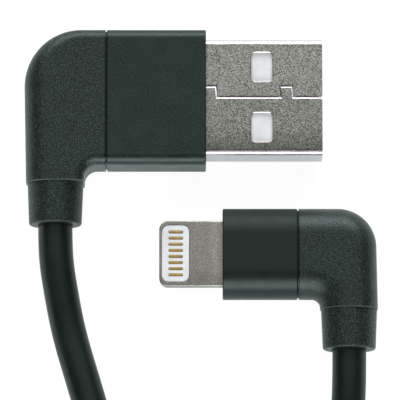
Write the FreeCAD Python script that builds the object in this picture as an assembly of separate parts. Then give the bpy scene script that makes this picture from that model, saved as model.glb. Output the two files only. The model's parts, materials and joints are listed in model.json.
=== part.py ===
import FreeCAD, Part
import math
import os
from FreeCAD import Vector

# Charging cable with two right-angle plugs that lie on a table: a flat four-contact plug
# (the USB end) and a small eight-contact plug (the phone end), joined by one cord.
# All sizes are in millimetres. The table is z = 0 and the origin is the middle of the two plugs.
# Each plug is drawn in its own place first: u runs from the cord's axis to the plug's tip,
# v runs away from the cord, and the cord leaves towards -v.

# Cord
cord_d = 3.5
jacket_bore = 2.7
wire_d = 0.8
wire_side = 0.5            # how far each wire lies to the side of the cord's axis
wire_bend = 1.0            # radius of a wire's bend from the plug into the cord

# Where the two plugs lie
leg_spacing = 29.9         # between the axes of the two cord exits, along X
axis_spacing = 15.9        # between the axes of the two plugs, along Y

# Fits
slip = 0.05                # clearance round a part that slides into another, each side
skin = 0.03                # clearance round a part that is moulded in
seat_gap = 0.13            # dark line between a sleeve and its elbow
past = 1.0                 # how far a cutting block reaches beyond the face that it cuts
near = 0.001               # points closer than this are the same

# Cord exit, the same on both plugs
leg_inner = 2.95           # from the cord's axis to the elbow's inner side
elbow_reach = 5.1          # from the cord's axis to the elbow's face
relief_top_d = 5.7
relief_end_d = 5.37
relief_edge = 0.15
sleeve_rim = 0.15          # rounding of the sleeve's end edges, both plugs
sleeve_lip = 0.25          # how deep the lip at the sleeve's rear lies below its surface
spigot_d = 4.7
spigot_length = 1.2
ferrule_wall = 0.36
ferrule_length = 1.2
ferrule_gap = 0.3          # from the spigot to the ferrule
jacket_stub = 0.15         # jacket that stands out of the ferrule

# Inner mould, the same on both plugs
mould_back = 1.0           # from the cord's axis to the back of the wide block
mould_wall = 0.5           # beside the wires
mould_arm_half = 1.35      # half the height of the block round the wires
mould_collar_wall = 0.2    # round the ferrule
mould_collar_over = 0.6    # beyond the ferrule

# USB housing
usb_width = 14.0
usb_thickness = 6.0
usb_edge = 1.05            # rounding of the long edges
usb_leg_edge = 2.4         # rounding of the elbow's outer edge at the cord
usb_corner = 5.8           # outer corner, seen from above
usb_side_top = 3.2         # from the cord's axis to the outer side, at the corner
usb_side_end = 3.0         # the same at the strain relief
usb_inner_corner = 1.3
usb_leg = 1.65             # how far the elbow reaches past the side of the sleeve
usb_relief_length = 4.25
usb_sleeve_length = 10.13

# USB shell and its insulator
shell_width = 12.0
shell_height = 4.5
shell_sheet = 0.3
shell_corner = 0.6
shell_out = 11.87          # stands out of the sleeve
shell_in = 7.2             # held in the sleeve
window_length = 2.1
window_width = 2.95
window_corner = 0.35
window_to_tip = 5.12
window_pitch = 6.25
seam_gap = 0.2
seam_step = 1.13           # height of the two tabs in the folded seam
seam_tab_to_tip = 2.95
seam_tab_length = 1.5
seam_root = 1.15           # the rear tab shows this far out of the sleeve
seam_slant = 0.1
tongue_lift = 0.02         # from the middle of the plug to the tongue's lower face
tongue_to_tip = 0.45
mouth_depth = 11.2
contact_width = 1.0
contact_thickness = 0.25
contact_tail = 1.5
contact_inner_v = 1.0
contact_outer_v = 3.5
power_to_tip = 2.0
data_to_tip = 3.0

# Phone housing
phone_width = 9.3
phone_thickness = 6.0
phone_edge = 2.9
phone_leg_edge = 2.4
phone_corner = 3.9
phone_side_top = 2.8
phone_side_end = 2.92
phone_inner_corner = 0.9
phone_leg = 1.1
phone_relief_length = 4.05
phone_sleeve_length = 7.62
phone_front_wall = 0.9
phone_wall_side = 0.8
phone_wall_top = 0.8

# Phone tab, its contacts and its board
tab_width = 6.7
tab_thickness = 1.5
tab_out = 6.45
tab_corner = 0.88
tab_edge = 0.12
tab_flange_gap = 0.15      # from the flange to the inside of the sleeve, each side
tab_flange_thickness = 2.6
tab_flange_length = 1.2
tab_flange_corner = 0.4
block_rim = 0.27           # steel in front of the insulator
block_length = 2.8
block_width = 5.86
block_corner = 0.55
block_recess = 0.05
pad_count = 8
pad_pitch = 0.63
pad_length = 1.47
pad_width = 0.29
pad_thickness = 0.2
pad_to_tip = 0.95
pad_end_flat = 0.02        # straight part of a contact's round end
board_thickness = 0.55
board_tongue_width = 5.1
board_tongue_grip = 0.8
board_gap = 0.1            # from the board's edge to the shield, each side
board_length = 4.0
chip_size = 2.2
chip_height = 0.6
chip_gap = 0.2             # from the tab's flange to the chip
capacitor_count = 4
capacitor_length = 1.0
capacitor_width = 0.5
capacitor_pitch = 1.5
shield_sheet = 0.15
phone_wire_v = 2.4
phone_wire_pitch = 1.2
wire_overlap = 1.4         # wire that lies on its contact or pad
solder = 0.02

# Coil of the length that is put away, and its tie
coil_radius = 26.5         # outermost turn
coil_pitch = 3.95          # from one turn to the next, sideways and upwards
coil_whole_turns = 7
coil_climb = 0.5           # turns from the lower layer to the upper one
coil_entry = 155.0         # degrees round the coil where the cord from the USB end joins it
coil_exit = 30.0           # degrees round the coil where the cord to the phone end leaves it
coil_x = 7.5
coil_y = -62.0
arcs_per_turn = 4
tie_width = 4.0
tie_thickness = 0.5
tie_gap = 0.3              # round the turns
tie_slack = 0.1            # under the turns
tie_corner = 1.0

usb_mid = usb_thickness / 2
phone_mid = phone_thickness / 2
usb_front = elbow_reach + seat_gap + usb_sleeve_length
usb_tip = usb_front + shell_out
shell_rear = usb_front - shell_in
usb_end_v = -(usb_width / 2 + usb_leg)
tongue_bottom = usb_mid + tongue_lift
phone_front = elbow_reach + seat_gap + phone_sleeve_length
phone_tip = phone_front + tab_out
phone_end_v = -(phone_width / 2 + phone_leg)
phone_room_width = phone_width - 2 * phone_wall_side

coil_span = coil_whole_turns + (coil_exit - coil_entry) % 360.0 / 360.0
coil_turns = (coil_span - coil_climb) / 2
coil_lift = tie_thickness + tie_slack
usb_x = -leg_spacing / 2
phone_x = usb_x + leg_spacing
plugs_top = usb_width / 2
plugs_bottom = min(usb_end_v - usb_relief_length, phone_end_v - phone_relief_length - axis_spacing)
usb_y = -(plugs_top + plugs_bottom) / 2
phone_y = usb_y - axis_spacing

scratch = FreeCAD.newDocument("rounding")


def unit(vector):
    return vector * (1 / vector.Length)


def box(u0, u1, v0, v1, z0, z1):
    return Part.makeBox(u1 - u0, v1 - v0, z1 - z0, Vector(u0, v0, z0))


def rounded_loop(width, height, corner, place):
    """Closed wire of a rectangle with round corners; place turns (a, b) into a point."""
    a, b = width / 2, height / 2
    edges = []
    turns = ((1, 1), (-1, 1), (-1, -1), (1, -1))
    starts, mids, ends = [], [], []
    diagonal = corner * math.sqrt(0.5)
    for number, (sa, sb) in enumerate(turns):
        centre_a, centre_b = sa * (a - corner), sb * (b - corner)
        on_side = (centre_a + sa * corner, centre_b)
        on_top = (centre_a, centre_b + sb * corner)
        first, last = (on_side, on_top) if number % 2 == 0 else (on_top, on_side)
        starts.append(place(*first))
        mids.append(place(centre_a + sa * diagonal, centre_b + sb * diagonal))
        ends.append(place(*last))
    for number in range(4):
        edges.append(Part.Arc(starts[number], mids[number], ends[number]).toShape())
        edges.append(Part.LineSegment(ends[number], starts[(number + 1) % 4]).toShape())
    return Part.Wire(edges)


def rounded_bar(u0, u1, width, height, corner, mid_z, mid_v=0.0):
    """Bar along u whose section is a rectangle with round corners."""
    loop = rounded_loop(width, height, corner, lambda a, b: Vector(u0, mid_v + a, mid_z + b))
    return Part.Face(loop).extrude(Vector(u1 - u0, 0, 0))


def rounded_plate(mid_u, mid_v, length, width, corner, z0, z1):
    """Upright block whose outline from above is a rectangle with round corners."""
    loop = rounded_loop(length, width, corner, lambda a, b: Vector(mid_u + a, mid_v + b, z0))
    return Part.Face(loop).extrude(Vector(0, 0, z1 - z0))


def leg_cylinder(v0, v1, diameter, mid_z):
    """Round bar along the cord's axis from v0 down to v1."""
    return Part.makeCylinder(diameter / 2, v0 - v1, Vector(0, v0, mid_z), Vector(0, -1, 0))


def leg_ring(v0, v1, outer_d, inner_d, mid_z):
    return leg_cylinder(v0, v1, outer_d, mid_z).cut(leg_cylinder(v0, v1, inner_d, mid_z))


def round_edges(solid, chosen):
    """Rounds the edges given as (start, end, radius at start, radius at end)."""
    base = scratch.addObject("Part::Feature", "base")
    base.Shape = solid
    rounding = scratch.addObject("Part::Fillet", "rounding")
    rounding.Base = base
    rows = []
    for start, end, at_start, at_end in chosen:
        for number, edge in enumerate(solid.Edges, 1):
            first, last = edge.Vertexes[0].Point, edge.Vertexes[-1].Point
            if first.isEqual(start, near) and last.isEqual(end, near):
                rows.append((number, at_start, at_end))
            elif first.isEqual(end, near) and last.isEqual(start, near):
                rows.append((number, at_end, at_start))
    rounding.Edges = rows
    scratch.recompute()
    return rounding.Shape.copy()


def edges_in_plane(solid, axis, value):
    """Edges that lie wholly in the plane where one coordinate has the given value."""
    low, high = axis + "Min", axis + "Max"
    found = []
    for edge in solid.Edges:
        bounds = edge.BoundBox
        if abs(getattr(bounds, low) - value) < near and abs(getattr(bounds, high) - value) < near:
            found.append(edge)
    return found


def save(shape, name):
    solids = shape.Solids
    good = shape.isValid() and len(solids) > 0
    print(name, "solids", len(solids), "volume", round(shape.Volume, 3), "valid", good)
    whole = solids[0] if len(solids) == 1 else Part.Compound(solids)
    whole.exportStep("parts/" + name + ".step")


def save_usb(shape, name):
    save(shape.translated(Vector(usb_x, usb_y, 0)), name)


def save_phone(shape, name):
    mirrored = shape.mirror(Vector(0, 0, 0), Vector(1, 0, 0))
    save(mirrored.translated(Vector(phone_x, phone_y, 0)), name)


# Housings

def rounded_corner(before, corner, after, radius):
    """Start, middle and end of the arc that rounds the corner between two straight sides."""
    back, ahead = unit(before - corner), unit(after - corner)
    half_turn = (math.pi - back.getAngle(ahead)) / 2
    trim = radius * math.tan(half_turn)
    middle = corner + unit(back + ahead) * (radius / math.cos(half_turn) - radius)
    return corner + back * trim, middle, corner + ahead * trim


def elbow_blank(width, thickness, edge, leg_edge, corner, inner_corner, side_top, side_end, end_v):
    """Outside of a right-angle housing: an L seen from above, with its long edges rounded."""
    half = width / 2
    far_face = Vector(elbow_reach, half, 0)
    outer_end = Vector(-side_end, end_v, 0)
    lean = (side_top - side_end) / (half - corner - end_v)
    outer_corner = Vector(-side_top - lean * corner, half, 0)
    corner_start, corner_mid, corner_end = rounded_corner(far_face, outer_corner, outer_end, corner)
    inner_end = Vector(leg_inner, end_v, 0)
    near_face = Vector(elbow_reach, -half, 0)
    inner_start, inner_mid, inner_stop = rounded_corner(inner_end, Vector(leg_inner, -half, 0), near_face,
                                                        inner_corner)
    outline = Part.Wire([
        Part.LineSegment(far_face, corner_start).toShape(),
        Part.Arc(corner_start, corner_mid, corner_end).toShape(),
        Part.LineSegment(corner_end, outer_end).toShape(),
        Part.LineSegment(outer_end, inner_end).toShape(),
        Part.LineSegment(inner_end, inner_start).toShape(),
        Part.Arc(inner_start, inner_mid, inner_stop).toShape(),
        Part.LineSegment(inner_stop, near_face).toShape(),
        Part.LineSegment(near_face, far_face).toShape(),
    ])
    solid = Part.Face(outline).extrude(Vector(0, 0, thickness))
    chosen = []
    for height in (0.0, thickness):
        up = Vector(0, 0, height)
        chosen += [
            (far_face + up, corner_start + up, edge, edge),
            (corner_start + up, corner_end + up, edge, leg_edge),
            (corner_end + up, outer_end + up, leg_edge, leg_edge),
            (inner_end + up, inner_start + up, edge, edge),
            (inner_start + up, inner_stop + up, edge, edge),
            (inner_stop + up, near_face + up, edge, edge),
        ]
    return round_edges(solid, chosen)


def ferrule_span(end_v):
    """Where the crimped ferrule starts and stops along the cord's axis."""
    low = end_v + spigot_length + ferrule_gap
    return low + ferrule_length, low


def mould_blocks(grow, bar_end, width, height, corner, mid_z, top_v, end_v):
    """Head, arm and round collar of an inner mould, each side moved out by grow.

    The arm's back corner follows the bend of the outermost wire.
    """
    ferrule_top, ferrule_low = ferrule_span(end_v)
    arm_half = wire_side + wire_d / 2 + mould_wall + grow
    arm_height = mould_arm_half + grow
    head = rounded_bar(mould_back - grow, bar_end, width + 2 * grow, height + 2 * grow, corner + grow, mid_z)
    arm = box(-arm_half, arm_half, ferrule_top, top_v + grow, mid_z - arm_height, mid_z + arm_height)
    back_low = Vector(-arm_half, top_v + grow, mid_z - arm_height)
    back_high = Vector(-arm_half, top_v + grow, mid_z + arm_height)
    bend = wire_bend + wire_d / 2 + mould_wall + grow
    arm = round_edges(arm, [(back_low, back_high, bend, bend)])
    collar_d = cord_d + 2 * (slip + ferrule_wall + mould_collar_wall + grow)
    collar = leg_cylinder(ferrule_top + mould_collar_over + grow, ferrule_low - slip - grow, collar_d, mid_z)
    return head.fuse(arm).fuse(collar).removeSplitter()


def wire_solid(tail_u, tail_v, side_u, height, end_v, diameter):
    """Wire that runs back from its contact, bends once and goes down into the cord."""
    start = Vector(tail_u, tail_v, height)
    before = Vector(side_u + wire_bend, tail_v, height)
    after = Vector(side_u, tail_v - wire_bend, height)
    end = Vector(side_u, end_v, height)
    reach = wire_bend * (1 - math.sqrt(0.5))
    middle = Vector(side_u + reach, tail_v - reach, height)
    path = Part.Wire([
        Part.LineSegment(start, before).toShape(),
        Part.Arc(before, middle, after).toShape(),
        Part.LineSegment(after, end).toShape(),
    ])
    circle = Part.Wire([Part.Circle(start, Vector(1, 0, 0), diameter / 2).toShape()])
    return path.makePipeShell([circle], True, False)


def wire_set(tail_u, tails, high_z, low_z, end_v, grow):
    """Four wires: the first and third lie high, the second and fourth low."""
    sides = (-wire_side, -wire_side, wire_side, wire_side)
    heights = (high_z, low_z, high_z, low_z)
    return [wire_solid(tail_u, v, u, z, end_v, wire_d + 2 * grow) for v, u, z in zip(tails, sides, heights)]


def sleeve_blank(front, width, thickness, edge, mid_z):
    """Outside of a sleeve, with the lip that closes the dark line between it and the elbow."""
    rear = elbow_reach + seat_gap
    sleeve = rounded_bar(rear, front, width, thickness, edge, mid_z)
    rims = edges_in_plane(sleeve, "X", rear) + edges_in_plane(sleeve, "X", front)
    sleeve = sleeve.makeFillet(sleeve_rim, rims)
    lip = rounded_bar(elbow_reach + skin, rear + sleeve_rim, width - 2 * sleeve_lip,
                      thickness - 2 * sleeve_lip, edge - sleeve_lip, mid_z)
    return sleeve.fuse(lip)


def strain_relief(end_v, length, mid_z):
    """Tapered collar round the cord, with a spigot that the elbow grips."""
    end = Vector(0, -1, 0)
    cone = Part.makeCone(relief_top_d / 2, relief_end_d / 2, length, Vector(0, end_v, mid_z), end)
    cone = cone.makeFillet(relief_edge, edges_in_plane(cone, "Y", end_v - length))
    spigot = leg_cylinder(end_v + spigot_length, end_v, spigot_d, mid_z)
    bore = leg_cylinder(end_v + spigot_length, end_v - length, cord_d + 2 * slip, mid_z)
    return cone.fuse(spigot).removeSplitter().cut(bore)


def cord_end_pieces(end_v, length, mid_z):
    """Jacket inside the housing and the ferrule crimped on it."""
    ferrule_top, ferrule_low = ferrule_span(end_v)
    jacket = leg_ring(ferrule_top + jacket_stub, end_v - length, cord_d, jacket_bore, mid_z)
    ferrule = leg_ring(ferrule_top, ferrule_low, cord_d + 2 * (slip + ferrule_wall), cord_d + 2 * slip, mid_z)
    return jacket, ferrule


def finish_elbow(blank, hollow, end_v, mid_z):
    """Takes the inner mould, the spigot and the cord out of an elbow."""
    seat = leg_cylinder(end_v + spigot_length + slip, end_v, spigot_d + 2 * slip, mid_z)
    throat = leg_cylinder(end_v + spigot_length + ferrule_gap, end_v, cord_d + 2 * slip, mid_z)
    return blank.cut(hollow).cut(seat).cut(throat)


def finish_mould(mould, wires, tails, jacket_v, end_v, mid_z):
    """Takes the wires, the contact tails, the jacket and the ferrule out of an inner mould."""
    ferrule_top, ferrule_low = ferrule_span(end_v)
    for wire in wires:
        mould = mould.cut(wire)
    for tail in tails:
        mould = mould.cut(tail)
    ferrule_d = cord_d + 2 * (2 * slip + ferrule_wall)
    mould = mould.cut(leg_cylinder(ferrule_top + skin, ferrule_low - past, ferrule_d, mid_z))
    return mould.cut(leg_cylinder(jacket_v + skin, ferrule_low, cord_d + 2 * skin, mid_z))


# USB end

def usb_housing():
    blank = elbow_blank(usb_width, usb_thickness, usb_edge, usb_leg_edge, usb_corner, usb_inner_corner,
                        usb_side_top, usb_side_end, usb_end_v)
    top_v = contact_outer_v + wire_d / 2 + mould_wall
    shape = (shell_width, shell_height, shell_corner, usb_mid, top_v, usb_end_v)
    elbow = finish_elbow(blank, mould_blocks(skin, elbow_reach, *shape), usb_end_v, usb_mid)
    save_usb(elbow, "usb_elbow")

    sleeve = sleeve_blank(usb_front, usb_width, usb_thickness, usb_edge, usb_mid)
    bore = rounded_bar(elbow_reach, usb_front, shell_width + 2 * slip, shell_height + 2 * slip,
                       shell_corner + slip, usb_mid)
    save_usb(sleeve.cut(bore), "usb_sleeve")

    tails = (contact_outer_v, contact_inner_v, -contact_inner_v, -contact_outer_v)
    tail_top = tongue_bottom + contact_thickness
    high_z = tail_top + solder + wire_d / 2
    low_z = tongue_bottom - solder - wire_d / 2
    tail_end = shell_rear - contact_tail
    cord_start = usb_end_v - usb_relief_length
    names = ("usb_wire_red", "usb_wire_white", "usb_wire_green", "usb_wire_black")
    wires = wire_set(tail_end + wire_overlap, tails, high_z, low_z, cord_start, 0.0)
    for wire, name in zip(wires, names):
        save_usb(wire, name)

    jacket, ferrule = cord_end_pieces(usb_end_v, usb_relief_length, usb_mid)
    save_usb(jacket, "usb_jacket_end")
    save_usb(ferrule, "usb_ferrule")
    mould = mould_blocks(0.0, shell_rear - skin, *shape)
    channels = wire_set(tail_end + wire_overlap + past, tails, high_z, low_z, cord_start, skin)
    half = contact_width / 2 + skin
    slots = []
    for v in tails:
        slots.append(box(tail_end - skin, shell_rear, v - half, v + half,
                         tongue_bottom - skin, tail_top + skin))
    jacket_top = ferrule_span(usb_end_v)[0] + jacket_stub
    save_usb(finish_mould(mould, channels, slots, jacket_top, usb_end_v, usb_mid), "usb_inner_mould")
    save_usb(strain_relief(usb_end_v, usb_relief_length, usb_mid), "usb_strain_relief")


def seam_cutter():
    """Narrow path through the top of the shell, with the two tabs of the folded seam."""
    tab_right = usb_tip - seam_tab_to_tip
    tab_left = tab_right - seam_tab_length
    root = usb_front + seam_root
    route = (
        (shell_rear - past, seam_step),
        (root, seam_step),
        (root + seam_slant, 0.0),
        (tab_left + seam_slant, 0.0),
        (tab_left, seam_step),
        (tab_right, seam_step),
        (tab_right + seam_slant, 0.0),
        (usb_tip + past, 0.0),
    )
    top = usb_mid + shell_height / 2
    half = seam_gap / 2
    cutter = None
    for (u0, v0), (u1, v1) in zip(route, route[1:]):
        length = math.hypot(u1 - u0, v1 - v0)
        piece = box(-half, length + half, -half, half, top - 2 * shell_sheet, top + past)
        piece.rotate(Vector(0, 0, 0), Vector(0, 0, 1), math.degrees(math.atan2(v1 - v0, u1 - u0)))
        piece.translate(Vector(u0, v0, 0))
        cutter = piece if cutter is None else cutter.fuse(piece)
    return cutter


def usb_shell():
    outside = rounded_bar(shell_rear, usb_tip, shell_width, shell_height, shell_corner, usb_mid)
    inner_width = shell_width - 2 * shell_sheet
    inner_height = shell_height - 2 * shell_sheet
    inner_corner = shell_corner - shell_sheet
    shell = outside.cut(rounded_bar(shell_rear, usb_tip, inner_width, inner_height, inner_corner, usb_mid))
    for side in (-1, 1):
        window = rounded_plate(usb_tip - window_to_tip - window_length / 2, side * window_pitch / 2,
                               window_length, window_width, window_corner, 0.0, usb_thickness)
        shell = shell.cut(window)
    save_usb(shell.cut(seam_cutter()), "usb_shell")

    block = rounded_bar(shell_rear, usb_tip - tongue_to_tip, inner_width - 2 * skin, inner_height - 2 * skin,
                        inner_corner, usb_mid)
    hollow = box(usb_tip - mouth_depth, usb_tip, -shell_width, shell_width, 0.0, tongue_bottom)
    insulator = block.cut(hollow)
    places = (contact_outer_v, contact_inner_v, -contact_inner_v, -contact_outer_v)
    for number, v in enumerate(places, 1):
        front = usb_tip - (power_to_tip if abs(v) > contact_inner_v else data_to_tip)
        low = tongue_bottom
        half = contact_width / 2
        contact = box(shell_rear - contact_tail, front, v - half, v + half, low, low + contact_thickness)
        groove = box(shell_rear - contact_tail, front + solder, v - half - solder, v + half + solder,
                     low - solder, low + contact_thickness + solder)
        insulator = insulator.cut(groove)
        save_usb(contact, "usb_contact_" + str(number))
    save_usb(insulator, "usb_insulator")


# Phone end

def phone_housing():
    blank = elbow_blank(phone_width, phone_thickness, phone_edge, phone_leg_edge, phone_corner,
                        phone_inner_corner, phone_side_top, phone_side_end, phone_end_v)
    inner_width = phone_room_width
    inner_height = phone_thickness - 2 * phone_wall_top
    inner_corner = phone_edge - phone_wall_side
    shape = (inner_width - 2 * slip, inner_height - 2 * slip, inner_corner - slip, phone_mid,
             phone_wire_v + wire_d / 2 + mould_wall, phone_end_v)
    elbow = finish_elbow(blank, mould_blocks(skin, elbow_reach, *shape), phone_end_v, phone_mid)
    save_phone(elbow, "phone_elbow")

    sleeve = sleeve_blank(phone_front, phone_width, phone_thickness, phone_edge, phone_mid)
    room = rounded_bar(elbow_reach, phone_front - phone_front_wall, inner_width, inner_height, inner_corner,
                       phone_mid)
    slot = rounded_bar(elbow_reach, phone_front, tab_width + 2 * slip, tab_thickness + 2 * slip,
                       tab_edge + slip, phone_mid)
    save_phone(sleeve.cut(room).cut(slot), "phone_sleeve")

    tails = [phone_wire_v - step * phone_wire_pitch for step in range(4)]
    lift = board_thickness / 2 + solder + wire_d / 2
    cord_start = phone_end_v - phone_relief_length
    names = ("phone_wire_red", "phone_wire_white", "phone_wire_green", "phone_wire_black")
    wires = wire_set(board_rear() + wire_overlap, tails, phone_mid + lift, phone_mid - lift, cord_start, 0.0)
    for wire, name in zip(wires, names):
        save_phone(wire, name)

    jacket, ferrule = cord_end_pieces(phone_end_v, phone_relief_length, phone_mid)
    save_phone(jacket, "phone_jacket_end")
    save_phone(ferrule, "phone_ferrule")
    mould = mould_blocks(0.0, board_rear() - 2 * skin, *shape)
    channels = wire_set(board_rear() + wire_overlap, tails, phone_mid + lift, phone_mid - lift, cord_start,
                        skin)
    jacket_top = ferrule_span(phone_end_v)[0] + jacket_stub
    save_phone(finish_mould(mould, channels, [], jacket_top, phone_end_v, phone_mid), "phone_inner_mould")
    save_phone(strain_relief(phone_end_v, phone_relief_length, phone_mid), "phone_strain_relief")

    shield_front = tab_flange_rear() - skin
    shield = rounded_bar(board_rear() - skin, shield_front, inner_width - 2 * slip, inner_height - 2 * slip,
                         inner_corner - slip, phone_mid)
    hollow_width = inner_width - 2 * slip - 2 * shield_sheet
    hollow_height = inner_height - 2 * slip - 2 * shield_sheet
    hollow = rounded_bar(board_rear() - skin, shield_front, hollow_width, hollow_height,
                         inner_corner - slip - shield_sheet, phone_mid)
    save_phone(shield.cut(hollow), "phone_shield")


def tab_flange_rear():
    return phone_front - phone_front_wall - slip - tab_flange_length


def board_rear():
    return tab_flange_rear() - board_length


def block_centre():
    return phone_tip - block_rim - block_length / 2


def pad_row(grow, z0, z1):
    """One row of flat contacts with round ends, side by side across the tab."""
    pads = []
    middle = phone_tip - pad_to_tip - pad_length / 2
    for number in range(pad_count):
        v = (number - (pad_count - 1) / 2) * pad_pitch
        width = pad_width + 2 * grow
        corner = (width - pad_end_flat) / 2
        pads.append(rounded_plate(middle, v, pad_length + 2 * grow, width, corner, z0, z1))
    return pads


def phone_tab():
    length = tab_out + phone_front_wall + slip
    tab = rounded_plate(phone_tip - length, 0, 2 * length, tab_width, tab_corner,
                        phone_mid - tab_thickness / 2, phone_mid + tab_thickness / 2)
    rims = edges_in_plane(tab, "Z", phone_mid + tab_thickness / 2)
    rims += edges_in_plane(tab, "Z", phone_mid - tab_thickness / 2)
    tab = tab.makeFillet(tab_edge, rims)
    tab = tab.cut(box(phone_tip - 3 * length, phone_tip - length, -tab_width, tab_width, 0, phone_thickness))
    flange_width = phone_room_width - 2 * tab_flange_gap
    flange = rounded_bar(tab_flange_rear(), phone_tip - length, flange_width, tab_flange_thickness,
                         tab_flange_corner, phone_mid)
    tab = tab.fuse(flange).removeSplitter()
    window = rounded_plate(block_centre(), 0, block_length, block_width, block_corner, 0, phone_thickness)
    channel = box(tab_flange_rear(), block_centre(),
                  -board_tongue_width / 2 - slip, board_tongue_width / 2 + slip,
                  phone_mid - board_thickness / 2 - slip, phone_mid + board_thickness / 2 + slip)
    save_phone(tab.cut(window).cut(channel), "phone_tab")

    face = tab_thickness / 2 - block_recess
    block = rounded_plate(block_centre(), 0, block_length - 2 * skin, block_width - 2 * skin,
                          block_corner - skin, phone_mid - face, phone_mid + face)
    block_back = block_centre() - block_length / 2
    grip = board_tongue_grip + slip
    pocket = box(block_back, block_back + grip, -board_tongue_width / 2 - slip, board_tongue_width / 2 + slip,
                 phone_mid - board_thickness / 2 - solder, phone_mid + board_thickness / 2 + solder)
    block = block.cut(pocket)
    top = phone_mid + face
    bottom = phone_mid - face
    pockets = pad_row(solder, top - pad_thickness - solder, top + past)
    pockets += pad_row(solder, bottom - past, bottom + pad_thickness + solder)
    for pocket in pockets:
        block = block.cut(pocket)
    save_phone(block, "phone_contact_block")
    save_phone(Part.Compound(pad_row(0.0, top - pad_thickness, top)), "phone_contacts_upper")
    save_phone(Part.Compound(pad_row(0.0, bottom, bottom + pad_thickness)), "phone_contacts_lower")

    board_low = phone_mid - board_thickness / 2
    board_top = phone_mid + board_thickness / 2
    tongue = box(tab_flange_rear(), block_back + board_tongue_grip,
                 -board_tongue_width / 2, board_tongue_width / 2, board_low, board_top)
    half = phone_room_width / 2 - slip - shield_sheet - board_gap
    wide = box(board_rear(), tab_flange_rear() - skin, -half, half, board_low, board_top)
    joined = box(board_rear() + board_length / 2, tab_flange_rear() + slip, -board_tongue_width / 2,
                 board_tongue_width / 2, board_low, board_top)
    save_phone(wide.fuse(joined).fuse(tongue).removeSplitter(), "phone_board")

    chip_front = tab_flange_rear() - skin - chip_gap
    chip = box(chip_front - chip_size, chip_front, -chip_size / 2, chip_size / 2,
               board_top, board_top + chip_height)
    save_phone(chip, "phone_chip")
    capacitors = []
    for number in range(capacitor_count):
        v = (number - (capacitor_count - 1) / 2) * capacitor_pitch
        capacitors.append(box(chip_front - capacitor_length, chip_front, v - capacitor_width / 2,
                              v + capacitor_width / 2, board_low - capacitor_width, board_low))
    save_phone(Part.Compound(capacitors), "phone_capacitors")


# Cord

def runs_path(points, share=0.45):
    """Straight runs joined by tangent arcs, each as large as its two runs allow."""
    edges, radii = [], []
    here = points[0]
    for before, corner, after in zip(points, points[1:], points[2:]):
        half_turn = (math.pi - (before - corner).getAngle(after - corner)) / 2
        trim = share * min((before - corner).Length, (after - corner).Length)
        radius = trim / math.tan(half_turn)
        first, middle, last = rounded_corner(before, corner, after, radius)
        edges.append(Part.LineSegment(here, first).toShape())
        edges.append(Part.Arc(first, middle, last).toShape())
        radii.append(round(radius, 1))
        here = last
    edges.append(Part.LineSegment(here, points[-1]).toShape())
    return Part.Wire(edges), radii


def arc_from(start, heading, end):
    """Arc that leaves start along heading and stops at end."""
    chord = end - start
    half = heading.getAngle(chord)
    side = unit(heading - unit(chord) * heading.dot(unit(chord)))
    sagitta = chord.Length / 2 * math.tan(half / 2)
    return Part.Arc(start, (start + end) * 0.5 + side * sagitta, end).toShape()


def biarc(start, heading, end, final):
    """Two arcs that join two points and follow the heading at each."""
    chord = end - start
    both = heading + final
    spread = 2 * (1 - heading.dot(final))
    reach = (-chord.dot(both) + math.sqrt(chord.dot(both) ** 2 + spread * chord.dot(chord))) / spread
    middle = (start + end + (heading - final) * reach) * 0.5
    joint = unit(end - final * reach - start - heading * reach)
    return [arc_from(start, heading, middle), arc_from(middle, joint, end)]


def coil_state(turn):
    """Radius and height of the coil after so many turns from its entry."""
    low = coil_lift + cord_d / 2
    inner = coil_radius - coil_turns * coil_pitch
    if turn <= coil_turns:
        return coil_radius - turn * coil_pitch, low
    if turn < coil_turns + coil_climb:
        share = (turn - coil_turns) / coil_climb
        dip = coil_pitch * coil_climb / math.pi * math.sin(math.pi * share)
        return inner - dip, low + coil_pitch * (1 - math.cos(math.pi * share)) / 2
    return inner + (turn - coil_turns - coil_climb) * coil_pitch, low + coil_pitch


def coil_point(turn):
    radius, height = coil_state(turn)
    angle = math.radians(coil_entry) + 2 * math.pi * turn
    return Vector(coil_x + radius * math.cos(angle), coil_y + radius * math.sin(angle), height)


def coil_heading(turn):
    step = 0.0005
    return unit(coil_point(turn + step) - coil_point(turn - step))


def coil_path():
    """Straight lead in, quarter turns as pairs of arcs, straight lead out."""
    count = round(coil_span * arcs_per_turn)
    turns = [coil_span * number / count for number in range(count + 1)]
    points = [coil_point(turn) for turn in turns]
    headings = [coil_heading(turn) for turn in turns]
    edges = [Part.LineSegment(points[0] - headings[0] * cord_d, points[0]).toShape()]
    for number in range(count):
        edges += biarc(points[number], headings[number], points[number + 1], headings[number + 1])
    edges.append(Part.LineSegment(points[-1], points[-1] + headings[-1] * cord_d).toShape())
    return Part.Wire(edges)


def tube(path, start, heading):
    circle = Part.Wire([Part.Circle(start, heading, cord_d / 2).toShape()])
    return path.makePipeShell([circle], True, False)


def least_gap(points, away):
    """Least distance between the tube's own surfaces, more than so many points apart."""
    least = None
    for number, point in enumerate(points):
        for other in points[number + away:]:
            distance = point.distanceToPoint(other) - cord_d
            least = distance if least is None else min(least, distance)
    return least


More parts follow.
